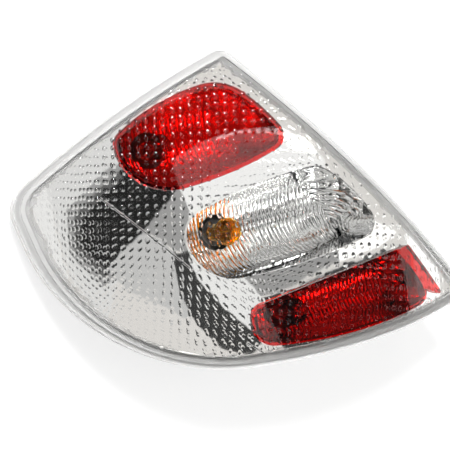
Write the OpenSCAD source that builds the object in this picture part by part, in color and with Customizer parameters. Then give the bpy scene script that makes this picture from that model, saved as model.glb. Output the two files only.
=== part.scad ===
// Wrap-around tail light cluster, lying on its back with the lens facing up.
// X runs along the three lamp chambers, Y across them, Z points out through the lens.
// Every curved lens, bezel and flange face is one torus skin offset inward by a depth,
// and every rim is one outline of four arcs offset inward by a distance.

/* [Overall] */
// Height from the stud ends to the top of the lens
lamp_h = 137; // [120:1:160]
// Radius of the lens along its length, which wraps it round the corner
skin_r_long = 350; // [300:5:500]
// Radius of the lens across its width
skin_r_wide = 900; // [700:10:1400]

/* [Outer lens] */
// Thickness of the clear lens skin
lens_t = 3; // [2:0.1:4]
// Width of the stepped flange round the lens
flange_w = 10.5; // [8:0.5:16]
// Depth of the lens wall from the skin to the foot of the flange
flange_d = 9; // [8:0.5:12]
// Length of the leg that sits in the housing groove
leg_h = 6; // [4:0.5:7]

/* [Bezel] */
// Depth of the mirror bezel below the lens skin
bezel_d = 7; // [6:0.5:10]
// Thickness of the bezel
bezel_t = 2; // [1.5:0.1:3]
// Clearance between separate pieces
fit = 0.4; // [0.2:0.1:0.8]

/* [Red lenses] */
// Depth of the red lenses below the lens skin
red_d = 3.3; // [3.2:0.1:4]
// Thickness of the red lenses
red_t = 2.6; // [2:0.1:3.4]
// Depth to which the red skirts reach
red_skirt_d = 12; // [10:0.5:16]

/* [Reflectors] */
// Wall thickness of the reflectors
refl_t = 2; // [1.5:0.1:3]
// Spacing of the moulded flutes
flute_pitch = 4.2; // [3.6:0.2:10]
// Radius of each flute
flute_r = 3.4; // [2.8:0.1:8]
// Diameter of the bulb holes
bulb_hole_d = 33; // [28:1:36]
// Space between the reflector bottoms and the flat back
refl_gap = 17.5; // [14:0.5:30]

/* [Housing] */
// Wall thickness of the rear housing
wall_t = 2.5; // [2:0.1:4]
// Depth of the flat back below the top of the lens
back_d = 109.5; // [100:0.5:120]
// Depth of the housing band that follows the wrap-around lens
band_d = 22; // [20:0.5:30]

/* [Bulbs] */
// Diameter of the bulb glass
bulb_d = 25; // [20:0.5:30]
// Height of the bulb centres above the flat back
bulb_h = 45.5; // [42:0.5:50]
// Diameter of the metal bulb cap
cap_d = 15; // [14:0.1:16]
// Step from one bulb to the next along the chambers
bulb_step_x = 44; // [30:1:60]
// Step from one bulb to the next across the chambers
bulb_step_y = 88; // [70:1:100]

/* [Bulb carrier] */
// Width of the carrier plate
carrier_w = 56; // [52:1:60]
// Thickness of the carrier plate
carrier_t = 3; // [2:0.1:4]
// Thickness of the carrier gasket
gasket_t = 2; // [1:0.1:4]

/* [Mounting] */
// Diameter of the mounting studs
stud_d = 6; // [5:0.5:8]
// Height of the pads round the studs
pad_h = 3; // [2:0.5:6]
// Height of the stiffening ribs on the back
rib_h = 2.5; // [2:0.5:4]
// Height of the foam gasket round the back
foam_h = 7; // [5:0.5:10]
// Width of the foam gasket
gasket_w = 5; // [4:0.5:8]

/* [Hidden] */
$fn = 64;
apex = [42, -28];
// Each outline is its corners, the radius of the side after each corner, and the corner radii.
rim = [[[-198.5, 56], [-171.5, -111], [202, -145], [-2, 137]], [980, 970, 12000, 640], [32, 168, 6, 12]];
upper = [[[-112, 83.5], [-116, 30.5], [32.5, 44], [-11, 109]], [1000, 330, 190, 156], [14, 44, 14, 42]];
middle = [[[-77, 0.5], [-79.5, -56.5], [100, -55.5], [51.5, 16.5]], [1300, 640, 128, 354], [23, 42, 14, 28]];
lower = [[[-43.5, -87.5], [-44, -121.5], [143, -133], [113.5, -77.6]], [1000, 530, 150, 1700], [12, 20, 14, 2]];
tab = [[[95, -79], [95, -97.5], [159, -135.5], [126, -77.5]], [1000, 3000, 3000, 3000], [1, 1, 2, 2]];
turn_at = [-23, -22];
bulb_step = [bulb_step_x, -bulb_step_y];
tail_at = turn_at - bulb_step;
fog_at = turn_at + bulb_step;
bulbs = [tail_at, turn_at, fog_at];
studs = [[-142, 38], [-96, -88], [132, -112], [12, 68]];
axis_y = [68, -22, -112];
axis_r = [42, 39, 29];
axis_left = [-111, -74, -39];
// Distances of the foam gasket and of the carrier from the rim.
gasket_edge = 8;
carrier_edge = gasket_edge + gasket_w + 1.5;
// The flat back ends where the underside of the wrap-around band comes down to it.
wrap_ring = sqrt(pow(skin_r_wide - back_d, 2) + pow(100, 2)) - skin_r_wide + skin_r_long;
wrap_x = apex.x - sqrt(pow(skin_r_long - band_d, 2) - pow(wrap_ring, 2)) + 3;
snap_step = 0.63 * norm(bulb_step);
pin_at = [wrap_x + 16, -18];
// Height that every cutting prism passes through.
below = lamp_h + 23;
above = 8;
vent_at = [76, -20];
refl_d = back_d - refl_gap;
bulb_z = back_d - bulb_h;
plate_z = -(back_d + gasket_t);
carrier_back = plate_z - carrier_t;
rim_x = [reach(rim, [-1, 0]), reach(rim, [1, 0])];
rim_y = [reach(rim, [0, -1]), reach(rim, [0, 1])];

function unit(v) = v / norm(v);
function left_of(v) = [-v.y, v.x];
function arc_centre(p, q, r) = (p + q) / 2 + left_of(unit(q - p)) * sqrt(r * r - pow(norm(q - p) / 2, 2));
function meet(a, ra, b, rb, near) =
  let (d = norm(b - a), k = (ra * ra - rb * rb + d * d) / (2 * d), h = sqrt(ra * ra - k * k))
  let (m = a + unit(b - a) * k, n = left_of(unit(b - a)) * h)
  norm(m + n - near) < norm(m - n - near) ? m + n : m - n;
function centres(o) = [for (i = [0:3]) arc_centre(o[0][i], o[0][(i + 1) % 4], o[1][i])];
function corner_r(o, i, d) = max(o[2][i] - d, 0.8);
function corner_centre(o, c, i, d) =
  let (j = (i + 3) % 4, f = corner_r(o, i, d))
  meet(c[j], o[1][j] - d - f, c[i], o[1][i] - d - f, o[0][i]);
// How far the outline reaches in an axis direction: the one arc that faces that way decides.
function faces(dir, c, p, q) =
  let (n = left_of(p - c), m = left_of(q - c)) dir * n >= -0.000001 && dir * m <= 0.000001 && dir * (p + q - 2 * c) > 0;
function reach(o, dir) =
  let (c = centres(o), f = [for (i = [0:3]) corner_centre(o, c, i, 0)])
  let (a = [for (i = [0:3]) f[i] + o[2][i] * unit(f[i] - c[(i + 3) % 4])])
  let (b = [for (i = [0:3]) f[i] + o[2][i] * unit(f[i] - c[i])])
  let (hits = [for (i = [0:3]) if (faces(dir, f[i], a[i], b[i])) f[i] * dir + o[2][i],
    for (i = [0:3]) if (faces(dir, c[i], b[i], a[(i + 1) % 4])) c[i] * dir + o[1][i]])
  hits[0];

// The rim's box is centred on the frame origin and the stud ends stand on the floor.
module place() {
  translate([(rim_x[0] - rim_x[1]) / 2, (rim_y[0] - rim_y[1]) / 2, lamp_h]) children();
}

// Points along an arc from p up to, not including, q, close enough that no chord leaves it by more than 0.08.
function along(c, r, p, q) =
  let (a0 = atan2(p.y - c.y, p.x - c.x), a1 = atan2(q.y - c.y, q.x - c.x), turn = a1 > a0 ? a1 - a0 : a1 - a0 + 360)
  let (n = max(1, ceil(turn * PI / 180 * r / sqrt(0.64 * r))))
  [for (k = [0:n - 1]) c + r * [cos(a0 + turn * k / n), sin(a0 + turn * k / n)]];

// An outline of four arcs with rounded corners, offset inward by d.
module area(o, d) {
  c = centres(o);
  f = [for (i = [0:3]) corner_centre(o, c, i, d)];
  a = [for (i = [0:3]) f[i] + corner_r(o, i, d) * unit(f[i] - c[(i + 3) % 4])];
  b = [for (i = [0:3]) f[i] + corner_r(o, i, d) * unit(f[i] - c[i])];
  polygon([for (i = [0:3]) each concat(along(f[i], corner_r(o, i, d), a[i], b[i]),
    along(c[i], o[1][i] - d, b[i], a[(i + 1) % 4]))]);
}

// The lip of the lower red lens runs on beyond its chamber in a tab beside the rim.
module lip_area(i) {
  union() {
    chamber_area(i, 0);
    if (i == 2) area(tab, 0);
  }
}

module chamber_area(i, d) {
  if (i == 0) area(upper, d);
  if (i == 1) area(middle, d);
  if (i == 2) area(lower, d);
}

module prism(z0, z1) {
  translate([0, 0, z0]) linear_extrude(height = z1 - z0) children();
}

module full() {
  prism(-below, above) children();
}

// Everything deeper than d below the lens skin, measured square to it.
module under(d, more = 0) {
  translate([apex.x, apex.y, -skin_r_wide]) rotate([0, 90, 0])
    rotate_extrude(angle = 32 + more, start = 164 - more / 2, $fn = 256) intersection() {
      translate([skin_r_wide - skin_r_long, 0]) circle(r = skin_r_long - d);
      translate([skin_r_wide - 150 - more, -262 - more]) square([160 + more, 460 + 2 * more]);
    }
}

// Solid column under the skin at depth d, inside the rim offset inward by e.
module column(d, e, more = 0) {
  intersection() {
    under(d, more);
    prism(-lamp_h - 3 - more, 5 + more) area(rim, e);
  }
}

module outer_lens() {
  color([0.9, 0.92, 0.94, 0.4]) place() difference() {
    union() {
      column(0, flange_w - lens_t);
      column(3.2, 4.6);
      column(6, 0);
      difference() {
        column(4.8, 0);
        full() area(rim, 1.4);
      }
    }
    difference() {
      under(flange_d, 4);
      full() difference() {
        area(rim, 3);
        area(rim, 5.3);
      }
    }
    under(flange_d + leg_h, 6);
    column(lens_t, flange_w, 2);
  }
}

module red_lens(i) {
  color([0.7, 0.02, 0.03, 0.8]) place() difference() {
    intersection() {
      under(red_d);
      full() lip_area(i);
    }
    intersection() {
      under(red_d + red_t, 2);
      full() chamber_area(i, 3 + fit + 2.2);
    }
    difference() {
      under(bezel_d - 0.3, 3);
      full() chamber_area(i, 3 + fit);
    }
    under(red_skirt_d, 4);
  }
}

module red_lens_upper() {
  red_lens(0);
}

module red_lens_lower() {
  red_lens(2);
}

// A narrow groove in the bezel between two points.
module seam(p, q) {
  s = left_of(unit(q - p)) * 0.5;
  difference() {
    full() polygon([p - s, q - s, q + s, p + s]);
    under(bezel_d + 0.8, 4);
  }
}

module bezel() {
  color([0.85, 0.86, 0.88]) place() difference() {
    union() {
      column(bezel_d, flange_w + 0.6);
      intersection() {
        under(bezel_d - 0.8);
        full() area(middle, -1.6);
      }
    }
    column(bezel_d + bezel_t, 12.5, 2);
    under(18, 4);
    full() area(upper, 3);
    full() area(middle, 0);
    full() area(lower, 3);
    seam([-133, 38], [-81, -40]);
    seam([-50, -116], [-36, -131]);
  }
}

// Half section of a chamber: straight trough with a domed left end, radius r, and its flutes.
module trough_half(r, flutes) {
  square([r, 2 * below]);
  intersection() {
    circle(r = r);
    translate([0, -r]) square([r, r]);
  }
  if (flutes) {
    for (k = [0:42]) translate([r + 1 - flute_r, (k + 0.5) * flute_pitch]) circle(r = flute_r);
    for (k = [0:13]) rotate(-(k + 0.5) * flute_pitch / (r - 1) * 180 / PI)
      if ((k + 0.5) * flute_pitch / (r - 1) * 180 / PI < 82) translate([r + 1 - flute_r, 0]) circle(r = flute_r);
  }
}

module trough(i, r, flutes) {
  translate([axis_left[i] + axis_r[i], axis_y[i], axis_r[i] - refl_d]) rotate([0, 90, 0])
    rotate_extrude($fn = 128) trough_half(r, flutes);
}

module reflector(i) {
  // Land left round the opening: the red lenses have a lip there, the clear chamber has none.
  d = i == 1 ? fit : 3;
  mid_z = axis_r[i] - refl_d;
  color([0.8, 0.81, 0.83]) place() difference() {
    intersection() {
      under(bezel_d + bezel_t + 0.3);
      full() chamber_area(i, d - refl_t);
      union() {
        trough(i, axis_r[i] + refl_t, false);
        translate([-2 * below, -2 * below, mid_z]) cube([4 * below, 4 * below, below]);
        translate([bulbs[i].x, bulbs[i].y, -refl_d - 3]) cylinder(r = bulb_hole_d / 2 + 2, h = 12);
      }
    }
    intersection() {
      full() chamber_area(i, d);
      union() {
        trough(i, axis_r[i] - 1, true);
        translate([-2 * below, -2 * below, mid_z]) cube([4 * below, 4 * below, below]);
      }
    }
    translate([bulbs[i].x, bulbs[i].y, -refl_d - 10]) cylinder(r = bulb_hole_d / 2, h = 25);
  }
}

module reflector_upper() {
  reflector(0);
}

module reflector_middle() {
  reflector(1);
}

module reflector_lower() {
  reflector(2);
}

// A strip with round ends that runs past the three bulbs, w from its middle line,
// and is cut parallel to the rim where it comes near it.
module strip(w) {
  s = left_of(unit(bulb_step)) * w;
  intersection() {
    polygon(concat(along(fog_at, w, fog_at - s, fog_at + s), [fog_at + s],
      along(tail_at, w, tail_at + s, tail_at - s), [tail_at - s]));
    area(rim, carrier_edge + carrier_w / 2 - w);
  }
}

// The flat back inside the rim offset inward by d: it stops short of the wrap-around end.
module back_area(d) {
  intersection() {
    area(rim, d);
    translate([wrap_x + d - gasket_edge, -below]) square([2.5 * below, 2 * below]);
  }
}

module on_line(u, v) {
  translate(turn_at) rotate(atan2(bulb_step.y, bulb_step.x)) translate([u, v]) children();
}

// A block beside each long edge of the carrier, from d to d + t beyond the edge and w each way.
module side_boxes(d, t, w) {
  for (e = [-1, 1], g = [-1, 1])
    on_line(e * snap_step, g * (carrier_w / 2 + d + t / 2)) square([2 * w, t], center = true);
}

module rear_housing() {
  color([0.62, 0.62, 0.63]) place() difference() {
    union() {
      difference() {
        column(flange_d + 0.3, 1);
        // Below the groove block only the body stays, which ends at the flat back or follows the lens.
        difference() {
          under(18, 2);
          full() area(rim, 6.6);
        }
        difference() {
          under(band_d, 4);
          translate([-2 * below, -2 * below, -back_d]) cube([4 * below, 4 * below, below]);
        }
        difference() {
          column(flange_d - 1, 6.6 + wall_t, 2);
          difference() {
            under(band_d - wall_t, 6);
            translate([-2 * below, -2 * below, wall_t - back_d]) cube([4 * below, 4 * below, below]);
          }
        }
      }
      // Ledge under the bezel skirt.
      difference() {
        column(18.3, 8);
        under(20.3, 4);
        full() area(rim, 12.7);
      }
      for (p = studs) translate([p.x, p.y, -back_d - 1]) cylinder(r = 8, h = 12);
      for (p = studs) translate([p.x, p.y, -back_d - pad_h]) cylinder(r = 9, h = pad_h + 1);
      // Stiffening ribs on the back.
      intersection() {
        prism(-back_d - 5, -back_d + 1) difference() {
          back_area(gasket_edge + gasket_w + 2);
          strip(carrier_w / 2 + 8);
        }
        union() {
          for (r = [[-170, 5, 20], [-140, -60, 60], [96, -60, 8], [60, 0, 52], [-150, 60, -35], [70, -110, -75]])
            translate([r[0], r[1], -back_d - rib_h]) rotate(r[2]) translate([-60, -1.2, 0]) cube([120, 2.4, 5]);
        }
      }
      // Locating pin.
      translate([pin_at.x, pin_at.y, -back_d - 14]) cylinder(r = 4, h = 15);
      translate([pin_at.x, pin_at.y, -back_d - 18]) cylinder(r1 = 2.4, r2 = 4, h = 4);
      // Lugs that the carrier tabs hook behind.
      translate([0, 0, -back_d - 7]) linear_extrude(height = 8) side_boxes(1, 2, 6.5);
      translate([0, 0, -back_d - 7]) linear_extrude(height = 1.7) side_boxes(1, 3, 6.5);
    }
    // Groove for the lens leg.
    difference() {
      column(flange_d - 1, 2.4, 2);
      under(flange_d + leg_h + 1, 4);
      full() area(rim, 5.9);
    }
    for (p = studs) {
      translate([p.x, p.y, -back_d - 10]) cylinder(d = stud_d + 1, h = 40);
      translate([p.x, p.y, -back_d + 8]) cylinder(r = 5.5, h = 10);
    }
    prism(-back_d - 1, -back_d + 10) strip(carrier_w / 2 - 7.5);
    translate([vent_at.x, vent_at.y, -back_d - 3]) cylinder(r = 3, h = 10);
  }
}

module lens_seal() {
  color([0.72, 0.71, 0.69]) place() difference() {
    column(flange_d + leg_h + 0.05, 2.5);
    under(flange_d + leg_h + 0.95, 4);
    full() area(rim, 5.8);
  }
}

module bulb_carrier() {
  color([0.16, 0.16, 0.17]) place() difference() {
    union() {
      prism(carrier_back, plate_z) strip(carrier_w / 2);
      // Spigot ring that enters the housing opening.
      prism(plate_z - 1, plate_z + 9) difference() {
        strip(carrier_w / 2 - 8);
        strip(carrier_w / 2 - 10);
      }
      for (p = bulbs) translate([p.x, p.y, carrier_back - 4]) cylinder(r = 12, h = 19.5 - back_d - carrier_back);
      // Connector shell, open to the back.
      translate([0, 0, carrier_back - 16]) linear_extrude(height = 17) on_line(44, 0) square([36, 22], center = true);
      // Cross ribs.
      for (u = [-74, -28, 18, 70]) translate([0, 0, carrier_back - 3]) linear_extrude(height = 4)
        on_line(u, 0) square([2, 23], center = true);
      // Snap frames along both edges.
      translate([0, 0, carrier_back]) linear_extrude(height = carrier_t) side_boxes(-4, 9.4, 9);
    }
    for (p = bulbs) translate([p.x, p.y, 0.5 - back_d - gasket_t]) cylinder(d = cap_d + 0.6, h = 30);
    translate([0, 0, carrier_back - 17]) linear_extrude(height = 17) on_line(44, 0) square([32, 18], center = true);
    translate([0, 0, carrier_back - 1]) linear_extrude(height = carrier_t + 2) side_boxes(0.6, 2.8, 6.9);
  }
}

module carrier_gasket() {
  color([0.1, 0.1, 0.1]) place() prism(plate_z, -back_d) difference() {
    strip(carrier_w / 2 - 2);
    strip(carrier_w / 2 - 6);
  }
}

module mounting_gasket() {
  color([0.16, 0.16, 0.17]) place() prism(-back_d - foam_h, -back_d) difference() {
    back_area(gasket_edge);
    back_area(gasket_edge + gasket_w);
  }
}

// Hollow bulb glass, revolved about the bulb axis.
module glass(i) {
  r = bulb_d / 2;
  translate([bulbs[i].x, bulbs[i].y, -bulb_z]) rotate_extrude($fn = 72) intersection() {
    translate([0, -45]) square([r + 1, 65]);
    difference() {
      union() {
        circle(r = r);
        translate([-6.6, -35]) square([13.2, 25]);
        polygon([[-6.6, -22], [6.6, -22], [10.6, -6.6], [-10.6, -6.6]]);
      }
      circle(r = r - 0.9);
      translate([-5.7, -34]) square([11.4, 25]);
      polygon([[-5.7, -21.8], [5.7, -21.8], [9.8, -6.2], [-9.8, -6.2]]);
    }
  }
}

module bulb_base(i) {
  translate([bulbs[i].x, bulbs[i].y, -bulb_z]) {
    difference() {
      union() {
        translate([0, 0, -45]) cylinder(d = cap_d, h = 16);
        translate([0, 0, -30]) cylinder(d1 = cap_d, d2 = cap_d + 0.5, h = 2);
        translate([0, 0, -46.4]) cylinder(r1 = 2.4, r2 = 3.4, h = 1.5);
        // Bayonet pins.
        for (s = [0, 180]) rotate(s) translate([cap_d / 2 - 1, 0, -36]) rotate([0, 90, 0]) cylinder(r = 0.9, h = 1.25);
      }
      translate([0, 0, -35.1]) cylinder(r = 6.65, h = 10);
      translate([0, 0, -43]) cylinder(r = 6, h = 10);
    }
  }
}

module filament(i) {
  color([0.6, 0.62, 0.64]) place() translate([bulbs[i].x, bulbs[i].y, -bulb_z]) {
    translate([0, 0, -33.8]) cylinder(r1 = 3.6, r2 = 2, h = 14);
    for (s = [-1, 1]) translate([s * 1.6, 0, -21]) cylinder(r = 0.35, h = 21);
    for (s = [-1, 1]) translate([s * 1.6, 0, 0]) sphere(r = 0.5, $fn = 24);
    translate([-1.6, 0, 0]) rotate([0, 90, 0]) cylinder(r = 0.4, h = 3.2, $fn = 24);
  }
}

module tail_bulb_glass() {
  color([0.95, 0.95, 0.95, 0.5]) place() glass(0);
}

module turn_bulb_glass() {
  color([0.95, 0.5, 0.05, 0.6]) place() glass(1);
}

module fog_bulb_glass() {
  color([0.95, 0.95, 0.95, 0.5]) place() glass(2);
}

module tail_bulb_cap() {
  color([0.75, 0.6, 0.3]) place() bulb_base(0);
}

module turn_bulb_cap() {
  color([0.75, 0.6, 0.3]) place() bulb_base(1);
}

module fog_bulb_cap() {
  color([0.75, 0.6, 0.3]) place() bulb_base(2);
}

module tail_bulb_filament() {
  filament(0);
}

module turn_bulb_filament() {
  filament(1);
}

module fog_bulb_filament() {
  filament(2);
}

// Flat stamped strip on the back of the carrier, from u0 to u1 along it and v0 to v1 across it.
module metal(u0, u1, v0, v1) {
  translate([0, 0, carrier_back - 0.8]) linear_extrude(height = 0.8)
    on_line((u0 + u1) / 2, (v0 + v1) / 2) square([u1 - u0, v1 - v0], center = true);
}

module ground_strip() {
  step = norm(bulb_step);
  color([0.78, 0.66, 0.36]) place() {
    metal(-step - 4, step + 4, 14, 19);
    for (u = [-step, 0, step]) metal(u - 3, u + 3, 12.3, 15);
  }
}

module feed_strips() {
  step = norm(bulb_step);
  color([0.78, 0.66, 0.36]) place() {
    metal(-step - 4, 30, -17, -14);
    metal(-step - 3, -step + 3, -15, -12.3);
    metal(-4, 42, -22, -19);
    metal(-3, 3, -20, -12.3 - 5.7);
    metal(46, step + 4, -17, -14);
    metal(step - 3, step + 3, -15, -12.3);
  }
}

module connector_pins() {
  color([0.8, 0.8, 0.82]) place() translate([0, 0, carrier_back - 9])
    for (u = [-10, -5, 0, 5, 10]) linear_extrude(height = 9) on_line(44 + u, 0) square([0.8, 2.8], center = true);
}

module mounting_studs() {
  color([0.7, 0.72, 0.74]) place() for (p = studs) {
    translate([p.x, p.y, -lamp_h + 1]) cylinder(d = stud_d, h = lamp_h - 1 - back_d - pad_h + 0.5);
    translate([p.x, p.y, -back_d - pad_h]) cylinder(d = stud_d + 1, h = pad_h + 9);
    translate([p.x, p.y, -lamp_h]) cylinder(d1 = stud_d - 1.6, d2 = stud_d, h = 1);
    translate([p.x, p.y, -back_d + 8]) cylinder(r = 5.4, h = 3);
  }
}

module vent_cap() {
  color([0.15, 0.15, 0.16]) place() translate([vent_at.x, vent_at.y, -back_d - 4]) difference() {
    cylinder(r = 9, h = 4);
    translate([0, 0, -1]) cylinder(r = 3, h = 6);
    for (a = [0:60:300]) rotate(a) translate([6, 0, -0.01]) cylinder(r = 1.2, h = 2);
  }
}

outer_lens();
red_lens_upper();
red_lens_lower();
bezel();
reflector_upper();
reflector_middle();
reflector_lower();
rear_housing();
lens_seal();
bulb_carrier();
carrier_gasket();
mounting_gasket();
tail_bulb_glass();
tail_bulb_cap();
tail_bulb_filament();
turn_bulb_glass();
turn_bulb_cap();
turn_bulb_filament();
fog_bulb_glass();
fog_bulb_cap();
fog_bulb_filament();
ground_strip();
feed_strips();
connector_pins();
mounting_studs();
vent_cap();
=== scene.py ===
import math
import random

import bmesh
import bpy
from mathutils import Matrix, Vector


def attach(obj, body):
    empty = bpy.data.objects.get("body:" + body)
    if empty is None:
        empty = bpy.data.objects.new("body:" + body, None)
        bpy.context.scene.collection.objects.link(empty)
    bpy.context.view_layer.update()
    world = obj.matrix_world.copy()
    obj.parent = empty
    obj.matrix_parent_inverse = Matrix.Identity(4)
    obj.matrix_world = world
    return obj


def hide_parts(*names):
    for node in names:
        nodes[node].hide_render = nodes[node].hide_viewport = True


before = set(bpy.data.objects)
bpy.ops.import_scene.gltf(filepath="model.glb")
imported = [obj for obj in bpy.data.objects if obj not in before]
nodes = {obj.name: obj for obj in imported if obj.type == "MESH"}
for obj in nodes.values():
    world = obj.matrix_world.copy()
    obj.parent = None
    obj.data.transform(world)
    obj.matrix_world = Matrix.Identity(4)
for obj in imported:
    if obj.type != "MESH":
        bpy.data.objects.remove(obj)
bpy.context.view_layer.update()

mm = 0.001

# How loose node meshes are welded and where they are creased
surface = {
    "weldDistance": 0.002 * mm,
    "creaseAngle": math.radians(24),
}

# The curved skin that the lens, the bezel and the red lenses share
skin = {
    "radiusLong": 350 * mm,      # along the lamp
    "radiusWide": 900 * mm,      # across it
    "apexX": 41.878 * mm,
    "apexY": -20.6515 * mm,
    "top": 137 * mm,
}


def skinHeight(x, y, depth=0.0):
    across = x - skin["apexX"]
    along = y - skin["apexY"]
    ring = skin["radiusWide"] - skin["radiusLong"]
    ring += math.sqrt(max((skin["radiusLong"] - depth) ** 2 - across ** 2, 1e-9))
    return math.sqrt(ring ** 2 - along ** 2) - skin["radiusWide"] + skin["top"]


def newGroup(name, inputs, outputs):
    group = bpy.data.node_groups.new(name, "ShaderNodeTree")
    for label, kind, value in inputs:
        socket = group.interface.new_socket(label, in_out="INPUT", socket_type=kind)
        if value is not None:
            socket.default_value = value
    for label, kind in outputs:
        group.interface.new_socket(label, in_out="OUTPUT", socket_type=kind)
    ends = group.nodes.new("NodeGroupInput"), group.nodes.new("NodeGroupOutput")
    return group, ends[0], ends[1]


def addNoise(tree, coords, scale, detail=3.0, roughness=0.5):
    noise = tree.nodes.new("ShaderNodeTexNoise")
    tree.links.new(coords, noise.inputs["Vector"])
    if hasattr(scale, "is_linked"):
        tree.links.new(scale, noise.inputs["Scale"])
    else:
        noise.inputs["Scale"].default_value = scale
    noise.inputs["Detail"].default_value = detail
    noise.inputs["Roughness"].default_value = roughness
    return noise.outputs["Fac"]


def addMath(tree, operation, a, b=None, clamp=False):
    node = tree.nodes.new("ShaderNodeMath")
    node.operation = operation
    node.use_clamp = clamp
    for socket, value in zip(node.inputs, (a, b)):
        if value is None:
            continue
        if hasattr(value, "is_linked"):
            tree.links.new(value, socket)
        else:
            socket.default_value = value
    return node.outputs[0]


def addRange(tree, value, low, high, toLow=0.0, toHigh=1.0):
    node = tree.nodes.new("ShaderNodeMapRange")
    tree.links.new(value, node.inputs["Value"])
    for label, number in (("From Min", low), ("From Max", high), ("To Min", toLow), ("To Max", toHigh)):
        if hasattr(number, "is_linked"):
            tree.links.new(number, node.inputs[label])
        else:
            node.inputs[label].default_value = number
    return node.outputs["Result"]


finish = {
    "slowScale": 22.0,             # patches of shine and dust on the plastics
    "dustFrom": 0.48,              # where in the slow noise the dust starts and is full
    "dustTo": 0.72,
    "fineScale": 260.0,            # shine change on clear and metallised pieces
    "noiseLow": 0.3,               # the part of a noise that is spread over a range
    "noiseHigh": 0.7,
    "grainHeight": 0.3 * mm,
}


def buildMouldedSkin():
    # Fine moulded grain, a slow shine change and light handling dust for every plastic
    group, start, end = newGroup(
        "mouldedSkin",
        [("Coords", "NodeSocketVector", None), ("Color", "NodeSocketColor", (0.1, 0.1, 0.1, 1)),
         ("Dust Color", "NodeSocketColor", (0.3, 0.3, 0.3, 1)), ("Dust", "NodeSocketFloat", 0.1),
         ("Grain Scale", "NodeSocketFloat", 900.0), ("Rough Low", "NodeSocketFloat", 0.4),
         ("Rough High", "NodeSocketFloat", 0.6)],
        [("Color", "NodeSocketColor"), ("Roughness", "NodeSocketFloat"), ("Height", "NodeSocketFloat")],
    )
    coords = start.outputs["Coords"]
    slow = addNoise(group, coords, finish["slowScale"], 4.0, 0.6)
    grain = addNoise(group, coords, start.outputs["Grain Scale"], 2.0, 0.5)
    patches = addRange(group, slow, finish["dustFrom"], finish["dustTo"])
    dust = addMath(group, "MULTIPLY", patches, start.outputs["Dust"])
    mix = group.nodes.new("ShaderNodeMix")
    mix.data_type = "RGBA"
    group.links.new(dust, mix.inputs["Factor"])
    group.links.new(start.outputs["Color"], mix.inputs["A"])
    group.links.new(start.outputs["Dust Color"], mix.inputs["B"])
    group.links.new(mix.outputs["Result"], end.inputs["Color"])
    rough = addRange(group, slow, finish["noiseLow"], finish["noiseHigh"],
                     start.outputs["Rough Low"], start.outputs["Rough High"])
    group.links.new(rough, end.inputs["Roughness"])
    group.links.new(grain, end.inputs["Height"])
    return group


def buildShineWander():
    # Fine change of shine and a slow wander in level of clear or metallised surfaces
    group, start, end = newGroup(
        "shineWander",
        [("Coords", "NodeSocketVector", None), ("Scale", "NodeSocketFloat", 30.0),
         ("Rough Low", "NodeSocketFloat", 0.02), ("Rough High", "NodeSocketFloat", 0.06)],
        [("Roughness", "NodeSocketFloat"), ("Height", "NodeSocketFloat")],
    )
    coords = start.outputs["Coords"]
    slow = addNoise(group, coords, start.outputs["Scale"], 2.0, 0.5)
    fine = addNoise(group, coords, finish["fineScale"], 3.0, 0.6)
    rough = addRange(group, fine, finish["noiseLow"], finish["noiseHigh"],
                     start.outputs["Rough Low"], start.outputs["Rough High"])
    group.links.new(rough, end.inputs["Roughness"])
    group.links.new(slow, end.inputs["Height"])
    return group


def buildSeamLine():
    # A straight seam: painted shade darkens the middle of its groove, with a dull pale edge on either
    # side
    group, start, end = newGroup(
        "seamLine",
        [("Coords", "NodeSocketVector", None), ("Middle", "NodeSocketVector", (0, 0, 0)),
         ("Turn", "NodeSocketVector", (0, 0, 0)), ("Half Length", "NodeSocketFloat", 0.03),
         ("Half Width", "NodeSocketFloat", 0.0005), ("Edge", "NodeSocketFloat", 0.0005)],
        [("Groove Shade", "NodeSocketFloat"), ("Edge", "NodeSocketFloat")],
    )
    shift = group.nodes.new("ShaderNodeVectorMath")
    shift.operation = "SUBTRACT"
    group.links.new(start.outputs["Coords"], shift.inputs[0])
    group.links.new(start.outputs["Middle"], shift.inputs[1])
    turn = group.nodes.new("ShaderNodeVectorRotate")
    turn.rotation_type = "EULER_XYZ"
    group.links.new(shift.outputs[0], turn.inputs["Vector"])
    group.links.new(start.outputs["Turn"], turn.inputs["Rotation"])
    parts = group.nodes.new("ShaderNodeSeparateXYZ")
    group.links.new(turn.outputs[0], parts.inputs[0])
    along = addMath(group, "ABSOLUTE", parts.outputs["X"])
    across = addMath(group, "ABSOLUTE", parts.outputs["Y"])
    within = addMath(group, "LESS_THAN", along, start.outputs["Half Length"])
    inner = addMath(group, "LESS_THAN", across, start.outputs["Half Width"])
    outer = addMath(group, "ADD", start.outputs["Half Width"], start.outputs["Edge"])
    nearIt = addMath(group, "LESS_THAN", across, outer)
    group.links.new(addMath(group, "MULTIPLY", within, inner), end.inputs["Groove Shade"])
    edge = addMath(group, "SUBTRACT", nearIt, inner)
    group.links.new(addMath(group, "MULTIPLY", within, edge), end.inputs["Edge"])
    return group


groups = {
    "mouldedSkin": buildMouldedSkin(), "shineWander": buildShineWander(), "seamLine": buildSeamLine(),
}


def newMaterial(name):
    material = bpy.data.materials.new(name)
    material.use_nodes = True
    tree = material.node_tree
    shader = tree.nodes["Principled BSDF"]
    place = tree.nodes.new("ShaderNodeTexCoord")
    return material, tree, shader, place.outputs["Object"]


def useGroup(tree, name, coords, values):
    node = tree.nodes.new("ShaderNodeGroup")
    node.node_tree = groups[name]
    tree.links.new(coords, node.inputs["Coords"])
    for label, value in values.items():
        node.inputs[label].default_value = value
    return node


def addBump(tree, shader, height, strength, distance):
    bump = tree.nodes.new("ShaderNodeBump")
    bump.inputs["Strength"].default_value = strength
    bump.inputs["Distance"].default_value = distance
    tree.links.new(height, bump.inputs["Height"])
    tree.links.new(bump.outputs["Normal"], shader.inputs["Normal"])


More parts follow.
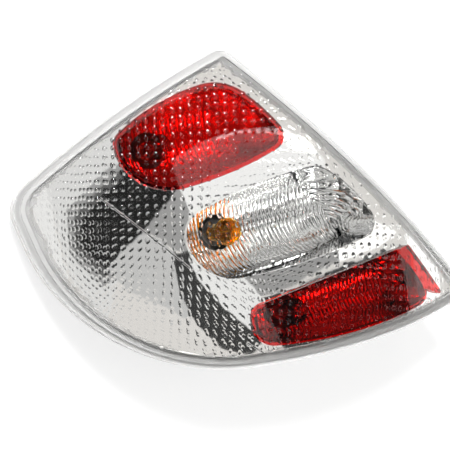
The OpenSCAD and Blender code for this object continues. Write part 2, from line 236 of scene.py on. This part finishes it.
def plasticMaterial(name, color, dustColor, dust, grain, roughness, bump):
    material, tree, shader, coords = newMaterial(name)
    skinNode = useGroup(tree, "mouldedSkin", coords, {
        "Color": (*color, 1), "Dust Color": (*dustColor, 1), "Dust": dust,
        "Grain Scale": grain, "Rough Low": roughness[0], "Rough High": roughness[1],
    })
    tree.links.new(skinNode.outputs["Color"], shader.inputs["Base Color"])
    tree.links.new(skinNode.outputs["Roughness"], shader.inputs["Roughness"])
    addBump(tree, shader, skinNode.outputs["Height"], bump, finish["grainHeight"])
    return material


def clearMaterial(name, color, ior, roughness, weight=1.0):
    material, tree, shader, coords = newMaterial(name)
    shader.inputs["Base Color"].default_value = (*color, 1)
    shader.inputs["Transmission Weight"].default_value = weight
    shader.inputs["IOR"].default_value = ior
    skinNode = useGroup(tree, "shineWander", coords, {
        "Rough Low": roughness[0], "Rough High": roughness[1],
    })
    tree.links.new(skinNode.outputs["Roughness"], shader.inputs["Roughness"])
    return material


def metalMaterial(name, color, roughness, wander=None):
    material, tree, shader, coords = newMaterial(name)
    shader.inputs["Base Color"].default_value = (*color, 1)
    shader.inputs["Metallic"].default_value = 1.0
    skinNode = useGroup(tree, "shineWander", coords, {
        "Rough Low": roughness[0], "Rough High": roughness[1],
    })
    tree.links.new(skinNode.outputs["Roughness"], shader.inputs["Roughness"])
    if wander:
        skinNode.inputs["Scale"].default_value = wander[0]
        addBump(tree, shader, skinNode.outputs["Height"], 1.0, wander[1])
    return material


seams = {
    "halfWidth": 0.42 * mm,
    "edge": 0.45 * mm,                     # dull strip on either side of the painted shade in the groove
    "edgeRoughness": 0.55,
    # painted shade: near-black colour laid along the middle of each seam groove
    "grooveShadeColor": (0.04, 0.04, 0.042, 1),
    "lines": [((-133, 38), (-81, -40)), ((-50, -116), (-36, -131))],   # ends in mm, as drawn
    "shift": (-0.122, 7.3485),             # from the drawing to this frame, in mm
}


def bezelMaterial(name, color, roughness, wander):
    # The metallised bezel with its two seam grooves, each darkened along its middle with painted shade
    material = metalMaterial(name, color, roughness, wander)
    tree = material.node_tree
    shader = tree.nodes["Principled BSDF"]
    place = next(node for node in tree.nodes if node.type == "TEX_COORD")
    grooveShade, edge = None, None
    for (x0, y0), (x1, y1) in seams["lines"]:
        middleX = ((x0 + x1) / 2 + seams["shift"][0]) * mm
        middleY = ((y0 + y1) / 2 + seams["shift"][1]) * mm
        line = useGroup(tree, "seamLine", place.outputs["Object"], {
            "Middle": (middleX, middleY, 0), "Turn": (0, 0, -math.atan2(y1 - y0, x1 - x0)),
            "Half Length": math.hypot(x1 - x0, y1 - y0) / 2 * mm,
            "Half Width": seams["halfWidth"], "Edge": seams["edge"],
        })
        grooveShade = addMath(tree, "MAXIMUM", grooveShade, line.outputs["Groove Shade"]) if grooveShade else line.outputs["Groove Shade"]
        edge = addMath(tree, "MAXIMUM", edge, line.outputs["Edge"]) if edge else line.outputs["Edge"]
    # The middle of each seam groove takes the painted shade colour
    grooveShadeTint = tree.nodes.new("ShaderNodeMix")
    grooveShadeTint.data_type = "RGBA"
    grooveShadeTint.inputs["A"].default_value = (*color, 1)
    grooveShadeTint.inputs["B"].default_value = seams["grooveShadeColor"]
    tree.links.new(grooveShade, grooveShadeTint.inputs["Factor"])
    tree.links.new(grooveShadeTint.outputs["Result"], shader.inputs["Base Color"])
    dull = addMath(tree, "MULTIPLY", edge, seams["edgeRoughness"])
    shine = shader.inputs["Roughness"].links[0].from_socket
    tree.links.new(addMath(tree, "ADD", shine, dull), shader.inputs["Roughness"])
    return material


# Clear: colour, refraction, roughness range and, below 1, the share of light that passes
clears = {
    "clearLens": ((0.99, 0.99, 0.985), 1.38, (0.0, 0.012)),
    "redLens": ((0.87, 0.04, 0.015), 1.36, (0.01, 0.04)),
    "amberGlass": ((1.0, 0.53, 0.002), 1.36, (0.0, 0.02), 0.97),
    "clearGlass": ((0.97, 0.97, 0.97), 1.5, (0.0, 0.02)),
    "milkyRim": ((0.97, 0.97, 0.965), 1.38, (0.02, 0.08), 0.66),
}

# Metal: colour, roughness range and, where it isn't level, the scale and height of its wander
metals = {
    "mirrorReflector": ((0.76, 0.76, 0.755), (0.02, 0.05), (60.0, 0.05 * mm)),
    "middleReflector": ((0.95, 0.95, 0.945), (0.02, 0.05), (60.0, 0.05 * mm)),
    "grainedReflector": ((0.95, 0.95, 0.94), (0.1, 0.18), (420.0, 0.6 * mm)),
    "brass": ((0.78, 0.58, 0.27), (0.18, 0.34)),
    "contactBrass": ((0.8, 0.64, 0.34), (0.22, 0.38)),
    "filamentSteel": ((0.55, 0.54, 0.52), (0.25, 0.4)),
    "pinSteel": ((0.72, 0.72, 0.73), (0.18, 0.3)),
    "studSteel": ((0.66, 0.67, 0.68), (0.25, 0.4)),
}
mirrorBezel = ((0.93, 0.925, 0.915), (0.02, 0.05), (24.0, 0.12 * mm))

# Plastic and foam: colour, dust colour, dust, grain scale, roughness range and bump strength
plastics = {
    "housingPlastic": ((0.6, 0.595, 0.585), (0.55, 0.54, 0.52), 0.3, 1100, (0.38, 0.55), 0.25),
    "carrierPlastic": ((0.16, 0.155, 0.15), (0.25, 0.24, 0.22), 0.3, 1300, (0.35, 0.5), 0.25),
    "ventPlastic": ((0.03, 0.03, 0.032), (0.12, 0.12, 0.12), 0.2, 1300, (0.4, 0.55), 0.25),
    "sealant": ((0.86, 0.85, 0.83), (0.7, 0.69, 0.67), 0.2, 500, (0.5, 0.7), 0.25),
    "foam": ((0.03, 0.03, 0.031), (0.09, 0.09, 0.09), 0.3, 2200, (0.85, 0.95), 0.8),
}

materials = {"mirrorBezel": bezelMaterial("mirrorBezel", *mirrorBezel)}
for build, recipes in ((clearMaterial, clears), (metalMaterial, metals), (plasticMaterial, plastics)):
    for materialName, recipe in recipes.items():
        materials[materialName] = build(materialName, *recipe)

nodeMaterials = {
    "red_lens_upper": "redLens", "red_lens_lower": "redLens", "bezel": "mirrorBezel",
    "reflector_upper": "grainedReflector", "reflector_middle": "middleReflector",
    "reflector_lower": "mirrorReflector", "rear_housing": "housingPlastic", "lens_seal": "sealant",
    "bulb_carrier": "carrierPlastic", "carrier_gasket": "foam", "mounting_gasket": "foam",
    "tail_bulb_glass": "clearGlass", "turn_bulb_glass": "amberGlass", "fog_bulb_glass": "clearGlass",
    "tail_bulb_cap": "brass", "turn_bulb_cap": "brass", "fog_bulb_cap": "brass",
    "tail_bulb_filament": "filamentSteel", "turn_bulb_filament": "filamentSteel",
    "fog_bulb_filament": "filamentSteel", "ground_strip": "contactBrass",
    "feed_strips": "contactBrass", "connector_pins": "pinSteel", "mounting_studs": "studSteel",
    "vent_cap": "ventPlastic", "outer_lens": "clearLens",
}
for nodeName, materialName in nodeMaterials.items():
    piece = nodes[nodeName]
    piece.data.materials.clear()
    piece.data.materials.append(materials[materialName])
    piece.data.polygons.foreach_set("use_smooth", [True] * len(piece.data.polygons))
    weld = piece.modifiers.new("weld", "WELD")
    weld.merge_threshold = surface["weldDistance"]
    split = piece.modifiers.new("split", "EDGE_SPLIT")
    split.split_angle = surface["creaseAngle"]
print("materials on", len(nodeMaterials), "nodes")

lens = {
    "dimpleRise": 0.28 * mm,      # depth of the plain skin below the dimple tops
    "dimplePower": 3,             # a higher power gives a flatter top and a steeper edge
    "dimpleRadius": 1.85 * mm,    # at the wrap-around end; it grows with the spacing
    "stretch": (0.84, 1.22),      # a dimple is longer across the chambers than along them
    "radiusSpread": 0.12,         # how much one dimple differs from the next
    "drift": 0.09,                # how far a dimple sits off its lattice point
    "turn": math.radians(-16),    # the lattice stands square to the vehicle, not to the chambers
    "startAlong": -262 * mm,      # first column, measured along the curve from the apex
    "startSide": 62 * mm,         # middle row, measured across from the apex
    "spacing": 6.2 * mm,          # lattice spacing at the wrap-around end
    "growth": 0.068 * mm,         # how much wider each next column is
    "columns": 56,
    "rows": 60,
    "cellFaces": 8,               # faces along one side of a lattice cell
    "cellMargin": 0.4 * mm,       # whole cells keep this far from the outline
    "dimpleMargin": 0.9 * mm,     # and so do single dimples, from their longer side
    "skinMargin": 0.06 * mm,      # faces of the node this close to the skin are replaced
    "rimWidth": 4 * mm,           # walls this close to the outline are milky like the flange
    "wallSlope": 0.3,             # a face counts as a wall below this upward share
    "sharpAngle": math.radians(9),
    "seed": 14,
}


def copyOfNode(nodeName):
    form = bmesh.new()
    form.from_mesh(nodes[nodeName].data)
    bmesh.ops.remove_doubles(form, verts=form.verts, dist=surface["weldDistance"])
    return form


def finishPiece(form, pieceName, pieceMaterials, nodeList, sharpAngle):
    for face in form.faces:
        face.smooth = True
    for edge in form.edges:
        if len(edge.link_faces) == 2 and edge.calc_face_angle(0.0) > sharpAngle:
            edge.smooth = False
    mesh = bpy.data.meshes.new(pieceName)
    form.to_mesh(mesh)
    form.free()
    for material in pieceMaterials:
        mesh.materials.append(material)
    piece = bpy.data.objects.new(pieceName, mesh)
    bpy.context.scene.collection.objects.link(piece)
    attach(piece, "root")
    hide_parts(*nodeList)


def insideLoop(x, y, corners):
    # Even-odd test in plan
    inside = False
    for (x0, y0), (x1, y1) in zip(corners, corners[1:] + corners[:1]):
        if (y0 > y) != (y1 > y) and x < x0 + (y - y0) / (y1 - y0) * (x1 - x0):
            inside = not inside
    return inside


def loopGap(x, y, corners):
    # Shortest distance in plan from a point to the outline
    best = 1.0
    for (x0, y0), (x1, y1) in zip(corners, corners[1:] + corners[:1]):
        dx, dy = x1 - x0, y1 - y0
        size = dx * dx + dy * dy
        t = 0.0 if size == 0.0 else max(0.0, min(1.0, ((x - x0) * dx + (y - y0) * dy) / size))
        best = min(best, math.hypot(x - x0 - t * dx, y - y0 - t * dy))
    return best


def orderedLoop(edges):
    # Boundary edges as a list of verts in order
    links = {}
    for edge in edges:
        for vert in edge.verts:
            links.setdefault(vert, []).append(edge)
    start = edges[0].verts[0]
    loop, vert, edge = [start], start, links[start][0]
    while True:
        vert = edge.other_vert(vert)
        if vert is start:
            return loop
        loop.append(vert)
        edge = next(e for e in links[vert] if e is not edge)


def latticePoint(column, row):
    # The lattice fans out from the wrap-around end, turned and then wrapped round the long radius
    step = lens["spacing"] + lens["growth"] * column
    p = lens["spacing"] * column + lens["growth"] * column * column / 2
    q = step * (row - lens["rows"] / 2)
    c, s = math.cos(lens["turn"]), math.sin(lens["turn"])
    along = c * p - s * q + lens["startAlong"]
    side = s * p + c * q + lens["startSide"]
    bend = max(-1.3, min(1.3, along / skin["radiusLong"]))   # stops short of a quarter turn
    return skin["apexX"] + skin["radiusLong"] * math.sin(bend), skin["apexY"] + side


def dimpledLens():
    shell = copyOfNode("outer_lens")
    onSkin = {v for v in shell.verts if abs(v.co.z - skinHeight(v.co.x, v.co.y)) < lens["skinMargin"]}
    topFaces = [f for f in shell.faces if f.normal.z > 0 and onSkin.issuperset(f.verts)]
    bmesh.ops.delete(shell, geom=topFaces, context="FACES")
    rimVerts = orderedLoop([e for e in shell.edges if e.is_boundary])
    print("lens: skin faces", len(topFaces), "rim verts", len(rimVerts))
    outline = [(v.co.x, v.co.y) for v in rimVerts]
    for vert in rimVerts:
        vert.co.z = skinHeight(vert.co.x, vert.co.y, lens["dimpleRise"])

    # What of each lattice cell fits inside the outline
    random.seed(lens["seed"])
    columns, rows, size = lens["columns"], lens["rows"], lens["cellFaces"]
    shape, fits, whole, cornerIn = {}, {}, {}, {}
    for column in range(columns + 1):
        for row in range(rows + 1):
            x, y = latticePoint(column, row)
            inside = insideLoop(x, y, outline)
            cornerIn[column, row] = inside and loopGap(x, y, outline) > lens["cellMargin"]
    for column in range(columns):
        grow = math.sqrt(1 + lens["growth"] * column / lens["spacing"])
        for row in range(rows):
            shift = [random.uniform(-1, 1) * lens["drift"] for axis in range(2)]
            x, y = latticePoint(column + 0.5 + shift[0], row + 0.5 + shift[1])
            radius = lens["dimpleRadius"] * grow * (1 + lens["radiusSpread"] * random.uniform(-1, 1))
            needed = radius * lens["stretch"][1] + lens["dimpleMargin"]
            shape[column, row] = x, y, radius
            whole[column, row] = all(cornerIn[column + i, row + j] for i in (0, 1) for j in (0, 1))
            fits[column, row] = whole[column, row] or (
                insideLoop(x, y, outline) and loopGap(x, y, outline) > needed)
    print("lens: dimples", sum(fits.values()))

    # All faces of a cell but its outer ring become the round dimple
    grid = bmesh.new()
    bmesh.ops.create_grid(grid, x_segments=columns * size, y_segments=rows * size, size=0.5)
    dropped = []
    for face in grid.faces:
        centre = face.calc_center_median()
        i, j = int((centre.x + 0.5) * columns * size), int((centre.y + 0.5) * rows * size)
        cell = i // size, j // size
        inner = 1 <= i % size <= size - 2 and 1 <= j % size <= size - 2
        if not (fits[cell] if inner else whole[cell]):
            dropped.append(face)
    bmesh.ops.delete(grid, geom=dropped, context="FACES")
    rise = grid.verts.layers.float.new("rise")
    half = size / 2
    for vert in grid.verts:
        i, j = round((vert.co.x + 0.5) * columns * size), round((vert.co.y + 0.5) * rows * size)
        column, row = min(i // size, columns - 1), min(j // size, rows - 1)
        a, b = (i - column * size) / half - 1, (j - row * size) / half - 1
        part = max(abs(a), abs(b)) * half / (half - 1)   # 0 in the middle, 1 at the dimple's foot
        if part > 1.01:   # on the flat ground between the dimples
            vert.co.x, vert.co.y = latticePoint(i / size, j / size)
            continue
        x, y, radius = shape[column, row]
        # Seen in plan, a dimple is narrower where the skin slopes
        tilt = math.sqrt(max(1 - ((x - skin["apexX"]) / skin["radiusLong"]) ** 2, 0.2))
        angle = 0.0
        if part > 0.1:   # not in the very middle, where the angle has no meaning
            if abs(a) >= abs(b):
                angle = math.pi / 4 * (b / a) + (math.pi if a < 0 else 0)
            else:
                angle = math.pi / 2 - math.pi / 4 * (a / b) + (math.pi if b < 0 else 0)
        vert.co.x = x + radius * part * math.cos(angle) * tilt * lens["stretch"][0]
        vert.co.y = y + radius * part * math.sin(angle) * lens["stretch"][1]
        vert[rise] = 1.0 - part ** lens["dimplePower"]

    # The strip between the cells and the outline is filled in plan, then all of it is lifted
    ring = [grid.verts.new((x, y, 0)) for x, y in outline]
    edges = [grid.edges.new((a, b)) for a, b in zip(ring, ring[1:] + ring[:1])]
    edges += [e for e in grid.edges if e.is_boundary]
    bmesh.ops.triangle_fill(grid, use_beauty=True, use_dissolve=False, edges=edges, normal=(0, 0, 1))
    bmesh.ops.recalc_face_normals(grid, faces=grid.faces)
    if sum(f.normal.z for f in grid.faces) < 0:
        bmesh.ops.reverse_faces(grid, faces=grid.faces)
    for vert in grid.verts:
        vert.co.z = skinHeight(vert.co.x, vert.co.y, lens["dimpleRise"] * (1 - vert[rise]))
    mesh = bpy.data.meshes.new("skinPart")
    grid.to_mesh(mesh)
    grid.free()
    shell.from_mesh(mesh)
    bpy.data.meshes.remove(mesh)
    bmesh.ops.remove_doubles(shell, verts=shell.verts, dist=surface["weldDistance"])
    print("lens: faces", len(shell.faces), "open edges", sum(e.is_boundary for e in shell.edges))
    for face in shell.faces:
        centre = face.calc_center_median()
        beside = not insideLoop(centre.x, centre.y, outline)
        wall = face.normal.z < lens["wallSlope"]
        rimWall = wall and loopGap(centre.x, centre.y, outline) < lens["rimWidth"]
        face.material_index = 1 if beside or rimWall else 0
    lensMaterials = materials["clearLens"], materials["milkyRim"]
    finishPiece(shell, "dimpledLens", lensMaterials, ["outer_lens"], lens["sharpAngle"])


dimpledLens()
print("lens ready")

studio = {
    "centre": (0.0, 0.0, 0.11),            # what the cards and the lamp face
    "distance": 6.0,
    "cardStep": 0.02,                      # each card stands this much nearer than the one before
    "setBack": (("tent", 1.4), ("flagHalo", 1.2), ("flagEdge", 1.1)),   # large cards behind small ones
    "worldColor": (0.76, 0.74, 0.72),
    "floorRadius": 4.0,
    "floorColor": (0.86, 0.86, 0.86),
    "floorShade": (0.36, 0.36, 0.36),      # the floor's colour where the camera sees it
    "floorLift": 0.7,                      # the glow added to it there
    "lampSize": 0.5,
    "lampPower": 60,
    "lampAngles": (-8, 34),
    "lampDistance": 2.2,
}

# Corners are (angle from overhead towards +X, angle towards +Y) in degrees, as seen from the lamp
cards = [
    ("softPanel", 0.95, [
        (-16.5, 9.5), (-4, 11.2), (8, 11.2), (17, 10.3), (23, 9.3), (32, 6), (36, 3), (36, 0),
        (20, 0), (0, -0.5), (-16, 0.5)]),
    ("tentShade", 0.76, [(-56, 30), (-20, 34), (-20, 6), (-40, -2), (-52, -12), (-60, -4), (-60, 14)]),
    ("tentGlow", 0.88, [(-84, 24), (-60, 24), (-60, 6), (-62, -6), (-56, -24), (-62, -34), (-84, -26)]),
    ("tentTop", 0.64, [(-76, 44), (-20, 50), (-20, 22), (-44, 18), (-62, 15), (-76, 15)]),
    ("tentLow", 0.52, [(-74, -16), (-50, -17), (-30, -21), (-20, -27), (-30, -44), (-74, -40)]),
    ("darkCore", 0.03, [
        (-16, 0), (0, -0.5), (20, 0), (36, 0), (40, -5), (36, -8.6), (20, -9.2), (-4, -9.8),
        (-12, -5)]),
    ("stripLight", 5.0, [
        (0, 11.3), (8, 11.2), (17, 10.3), (23, 9.2), (32, 6), (34, 4), (24, 6.6), (17, 8.6),
        (8, 10), (1, 10.2)]),
    ("flagHalo", 0.36, [
        (-58, -1), (-55, 5), (-38, 10.5), (-31, 11), (-22, 7), (-15, 5), (-25, 1), (-33, -2),
        (-41, -4), (-50, -7)]),
    ("flagEdge", 0.13, [
        (-56, -0.5), (-53, 4.2), (-37, 9.2), (-31, 10), (-23, 6.5), (-16, 5), (-25, 2), (-33, -1),
        (-41, -3), (-49, -5.6)]),
    ("darkFlag", 0.02, [
        (-54, 0), (-51.5, 3.4), (-36, 8), (-31.5, 9), (-24, 6), (-17, 5), (-25, 2.4), (-32.5, 0),
        (-40, -2), (-48, -4.4)]),
    ("darkCeiling", 0.02, [
        (-34, 8.6), (-32, 14.5), (-9, 18.6), (2, 19), (10, 17.6), (16, 14.4), (21, 10), (17, 10.4),
        (8, 11.4), (-4, 11.4), (-17, 9.6), (-17, 4.8), (-24, 5.8)]),
    ("greyPatch", 0.36, [
        (-32, 0.2), (-25, 2.4), (-17, 5), (-15.5, 1.5), (-19, -1.5), (-20, -5), (-24, -4)]),
    ("greyPanel", 0.58, [
        (-48, -4.4), (-40, -2), (-32.5, 0), (-26, -3.2), (-24, -5), (-25, -8), (-24.5, -15.5),
        (-33, -12), (-42, -8.4)]),
    ("darkEdge", 0.05, [
        (-25.5, -5), (-19.5, -4.6), (-20.2, -7.1), (-17.2, -11.1), (-12.4, -15), (-6.4, -18.9),
        (-1.4, -22), (-9.5, -23.4), (-17, -21), (-23.2, -16), (-26, -11)]),
    ("whitePanel", 0.88, [
        (-19.5, -4.6), (-15.5, -3), (-4, -10.5), (1, -14.6), (-1.4, -22), (-6.4, -18.9),
        (-12.4, -15), (-17.2, -11.1), (-20.2, -7.1)]),
    ("greyBand", 0.34, [(-4, -10.5), (20, -9.6), (38, -9), (32, -12.4), (1, -14.6)]),
    ("lowPanel", 1.3, [(32, -9), (48, -7.5), (58, -10), (50, -11.6), (32, -12.4)]),
    ("darkWall", 0.04, [(1, -15), (34, -13), (56, -12), (60, -30), (10, -34)]),
    ("highDarkLeft", 0.04, [(-62, 34), (-62, 64), (-30, 64), (-30, 32)]),
    ("highBank", 2.4, [(-26, 26), (-26, 66), (-8, 66), (-8, 26)]),
    ("highDark", 0.04, [(-6, 26), (-6, 66), (16, 66), (16, 26)]),
    ("highBankRight", 2.4, [(20, 26), (20, 66), (44, 66), (44, 26)]),
    ("highDarkRight", 0.04, [(48, 20), (48, 64), (84, 64), (84, 10)]),
    ("lowDarkLeft", 0.04, [(-62, -26), (-62, -64), (-30, -64), (-30, -26)]),
    ("lowBank", 2.4, [(-26, -32), (-26, -66), (-6, -66), (-6, -32)]),
    ("lowDark", 0.04, [(-4, -40), (-4, -66), (22, -66), (22, -40)]),
    ("lowBankRight", 2.4, [(26, -40), (26, -66), (50, -66), (50, -38)]),
    ("rightBank", 1.3, [(62, 8), (62, -20), (76, -20), (76, 8)]),
]


def direction(theta, phi):
    t, p = math.radians(theta), math.radians(phi)
    return Vector((math.cos(p) * math.sin(t), math.sin(p), math.cos(p) * math.cos(t)))


def glowMaterial(name, strength):
    material = bpy.data.materials.new(name)
    material.use_nodes = True
    tree = material.node_tree
    tree.nodes.clear()
    glow = tree.nodes.new("ShaderNodeEmission")
    glow.inputs["Color"].default_value = (1, 1, 1, 1)
    glow.inputs["Strength"].default_value = strength
    out = tree.nodes.new("ShaderNodeOutputMaterial")
    tree.links.new(glow.outputs[0], out.inputs["Surface"])
    return material


lampCentre = Vector(studio["centre"])
for order, (cardName, strength, corners) in enumerate(cards):
    form = bmesh.new()
    setBack = max(factor if cardName.startswith(start) else 1.0 for start, factor in studio["setBack"])
    far = studio["distance"] * setBack - studio["cardStep"] * order
    verts = [form.verts.new(lampCentre + direction(*corner) * far) for corner in corners]
    form.faces.new(verts)
    mesh = bpy.data.meshes.new(cardName)
    form.to_mesh(mesh)
    form.free()
    mesh.materials.append(glowMaterial(cardName, strength))
    card = bpy.data.objects.new(cardName, mesh)
    bpy.context.scene.collection.objects.link(card)
    card.visible_camera = False
    card.visible_shadow = False

key = bpy.data.lights.new("keyLamp", "AREA")
key.shape = "SQUARE"
key.size = studio["lampSize"]
key.energy = studio["lampPower"]
keyPiece = bpy.data.objects.new("keyLamp", key)
keyPiece.location = lampCentre + direction(*studio["lampAngles"]) * studio["lampDistance"]
keyPiece.rotation_mode = "QUATERNION"
keyPiece.rotation_quaternion = (keyPiece.location - lampCentre).to_track_quat("Z", "Y")
bpy.context.scene.collection.objects.link(keyPiece)

world = bpy.data.worlds.new("studioWorld")
bpy.context.scene.world = world
world.use_nodes = True
tree = world.node_tree
tree.nodes.clear()
surround = tree.nodes.new("ShaderNodeBackground")
surround.inputs["Color"].default_value = (*studio["worldColor"], 1)
white = tree.nodes.new("ShaderNodeBackground")
white.inputs["Color"].default_value = (1, 1, 1, 1)
rays = tree.nodes.new("ShaderNodeLightPath")
pick = tree.nodes.new("ShaderNodeMixShader")
out = tree.nodes.new("ShaderNodeOutputWorld")
tree.links.new(rays.outputs["Is Camera Ray"], pick.inputs["Fac"])
tree.links.new(surround.outputs[0], pick.inputs[1])
tree.links.new(white.outputs[0], pick.inputs[2])
tree.links.new(pick.outputs[0], out.inputs["Surface"])

form = bmesh.new()
bmesh.ops.create_circle(form, cap_ends=True, segments=64, radius=studio["floorRadius"])
mesh = bpy.data.meshes.new("floor")
form.to_mesh(mesh)
form.free()
floor = bpy.data.objects.new("floor", mesh)
bpy.context.scene.collection.objects.link(floor)
floorMaterial = bpy.data.materials.new("paleFloor")
floorMaterial.use_nodes = True
tree = floorMaterial.node_tree
tree.nodes.clear()
rays = tree.nodes.new("ShaderNodeLightPath")
seen = addMath(tree, "MAXIMUM", rays.outputs["Is Camera Ray"], rays.outputs["Is Transmission Ray"])
matt = tree.nodes.new("ShaderNodeBsdfDiffuse")
shade = tree.nodes.new("ShaderNodeMix")
shade.data_type = "RGBA"
shade.inputs["A"].default_value = (*studio["floorColor"], 1)
shade.inputs["B"].default_value = (*studio["floorShade"], 1)
tree.links.new(seen, shade.inputs["Factor"])
tree.links.new(shade.outputs["Result"], matt.inputs["Color"])
lift = tree.nodes.new("ShaderNodeEmission")
tree.links.new(addMath(tree, "MULTIPLY", seen, studio["floorLift"]), lift.inputs["Strength"])
both = tree.nodes.new("ShaderNodeAddShader")
out = tree.nodes.new("ShaderNodeOutputMaterial")
tree.links.new(matt.outputs[0], both.inputs[0])
tree.links.new(lift.outputs[0], both.inputs[1])
tree.links.new(both.outputs[0], out.inputs["Surface"])
mesh.materials.append(floorMaterial)

view = {
    "place": (-0.50589, 0.07958, 1.13651),
    "right": (0.872042, -0.256826, 0.416634),
    "up": (0.264563, 0.96353, 0.040201),
    "lens": 104.54,      # in mm, for a 36 mm wide sensor
    "sensor": 36,
}
camera = bpy.data.cameras.new("photoCamera")
camera.lens = view["lens"]
camera.sensor_width = view["sensor"]
cameraPiece = bpy.data.objects.new("photoCamera", camera)
right, up = Vector(view["right"]).normalized(), Vector(view["up"]).normalized()
back = right.cross(up).normalized()
cameraPiece.rotation_mode = "QUATERNION"
cameraPiece.rotation_quaternion = Matrix((right, up, back)).transposed().to_quaternion()
cameraPiece.location = view["place"]
bpy.context.scene.collection.objects.link(cameraPiece)
bpy.context.scene.camera = cameraPiece
bpy.context.scene.view_settings.view_transform = "Standard"
print("studio ready")
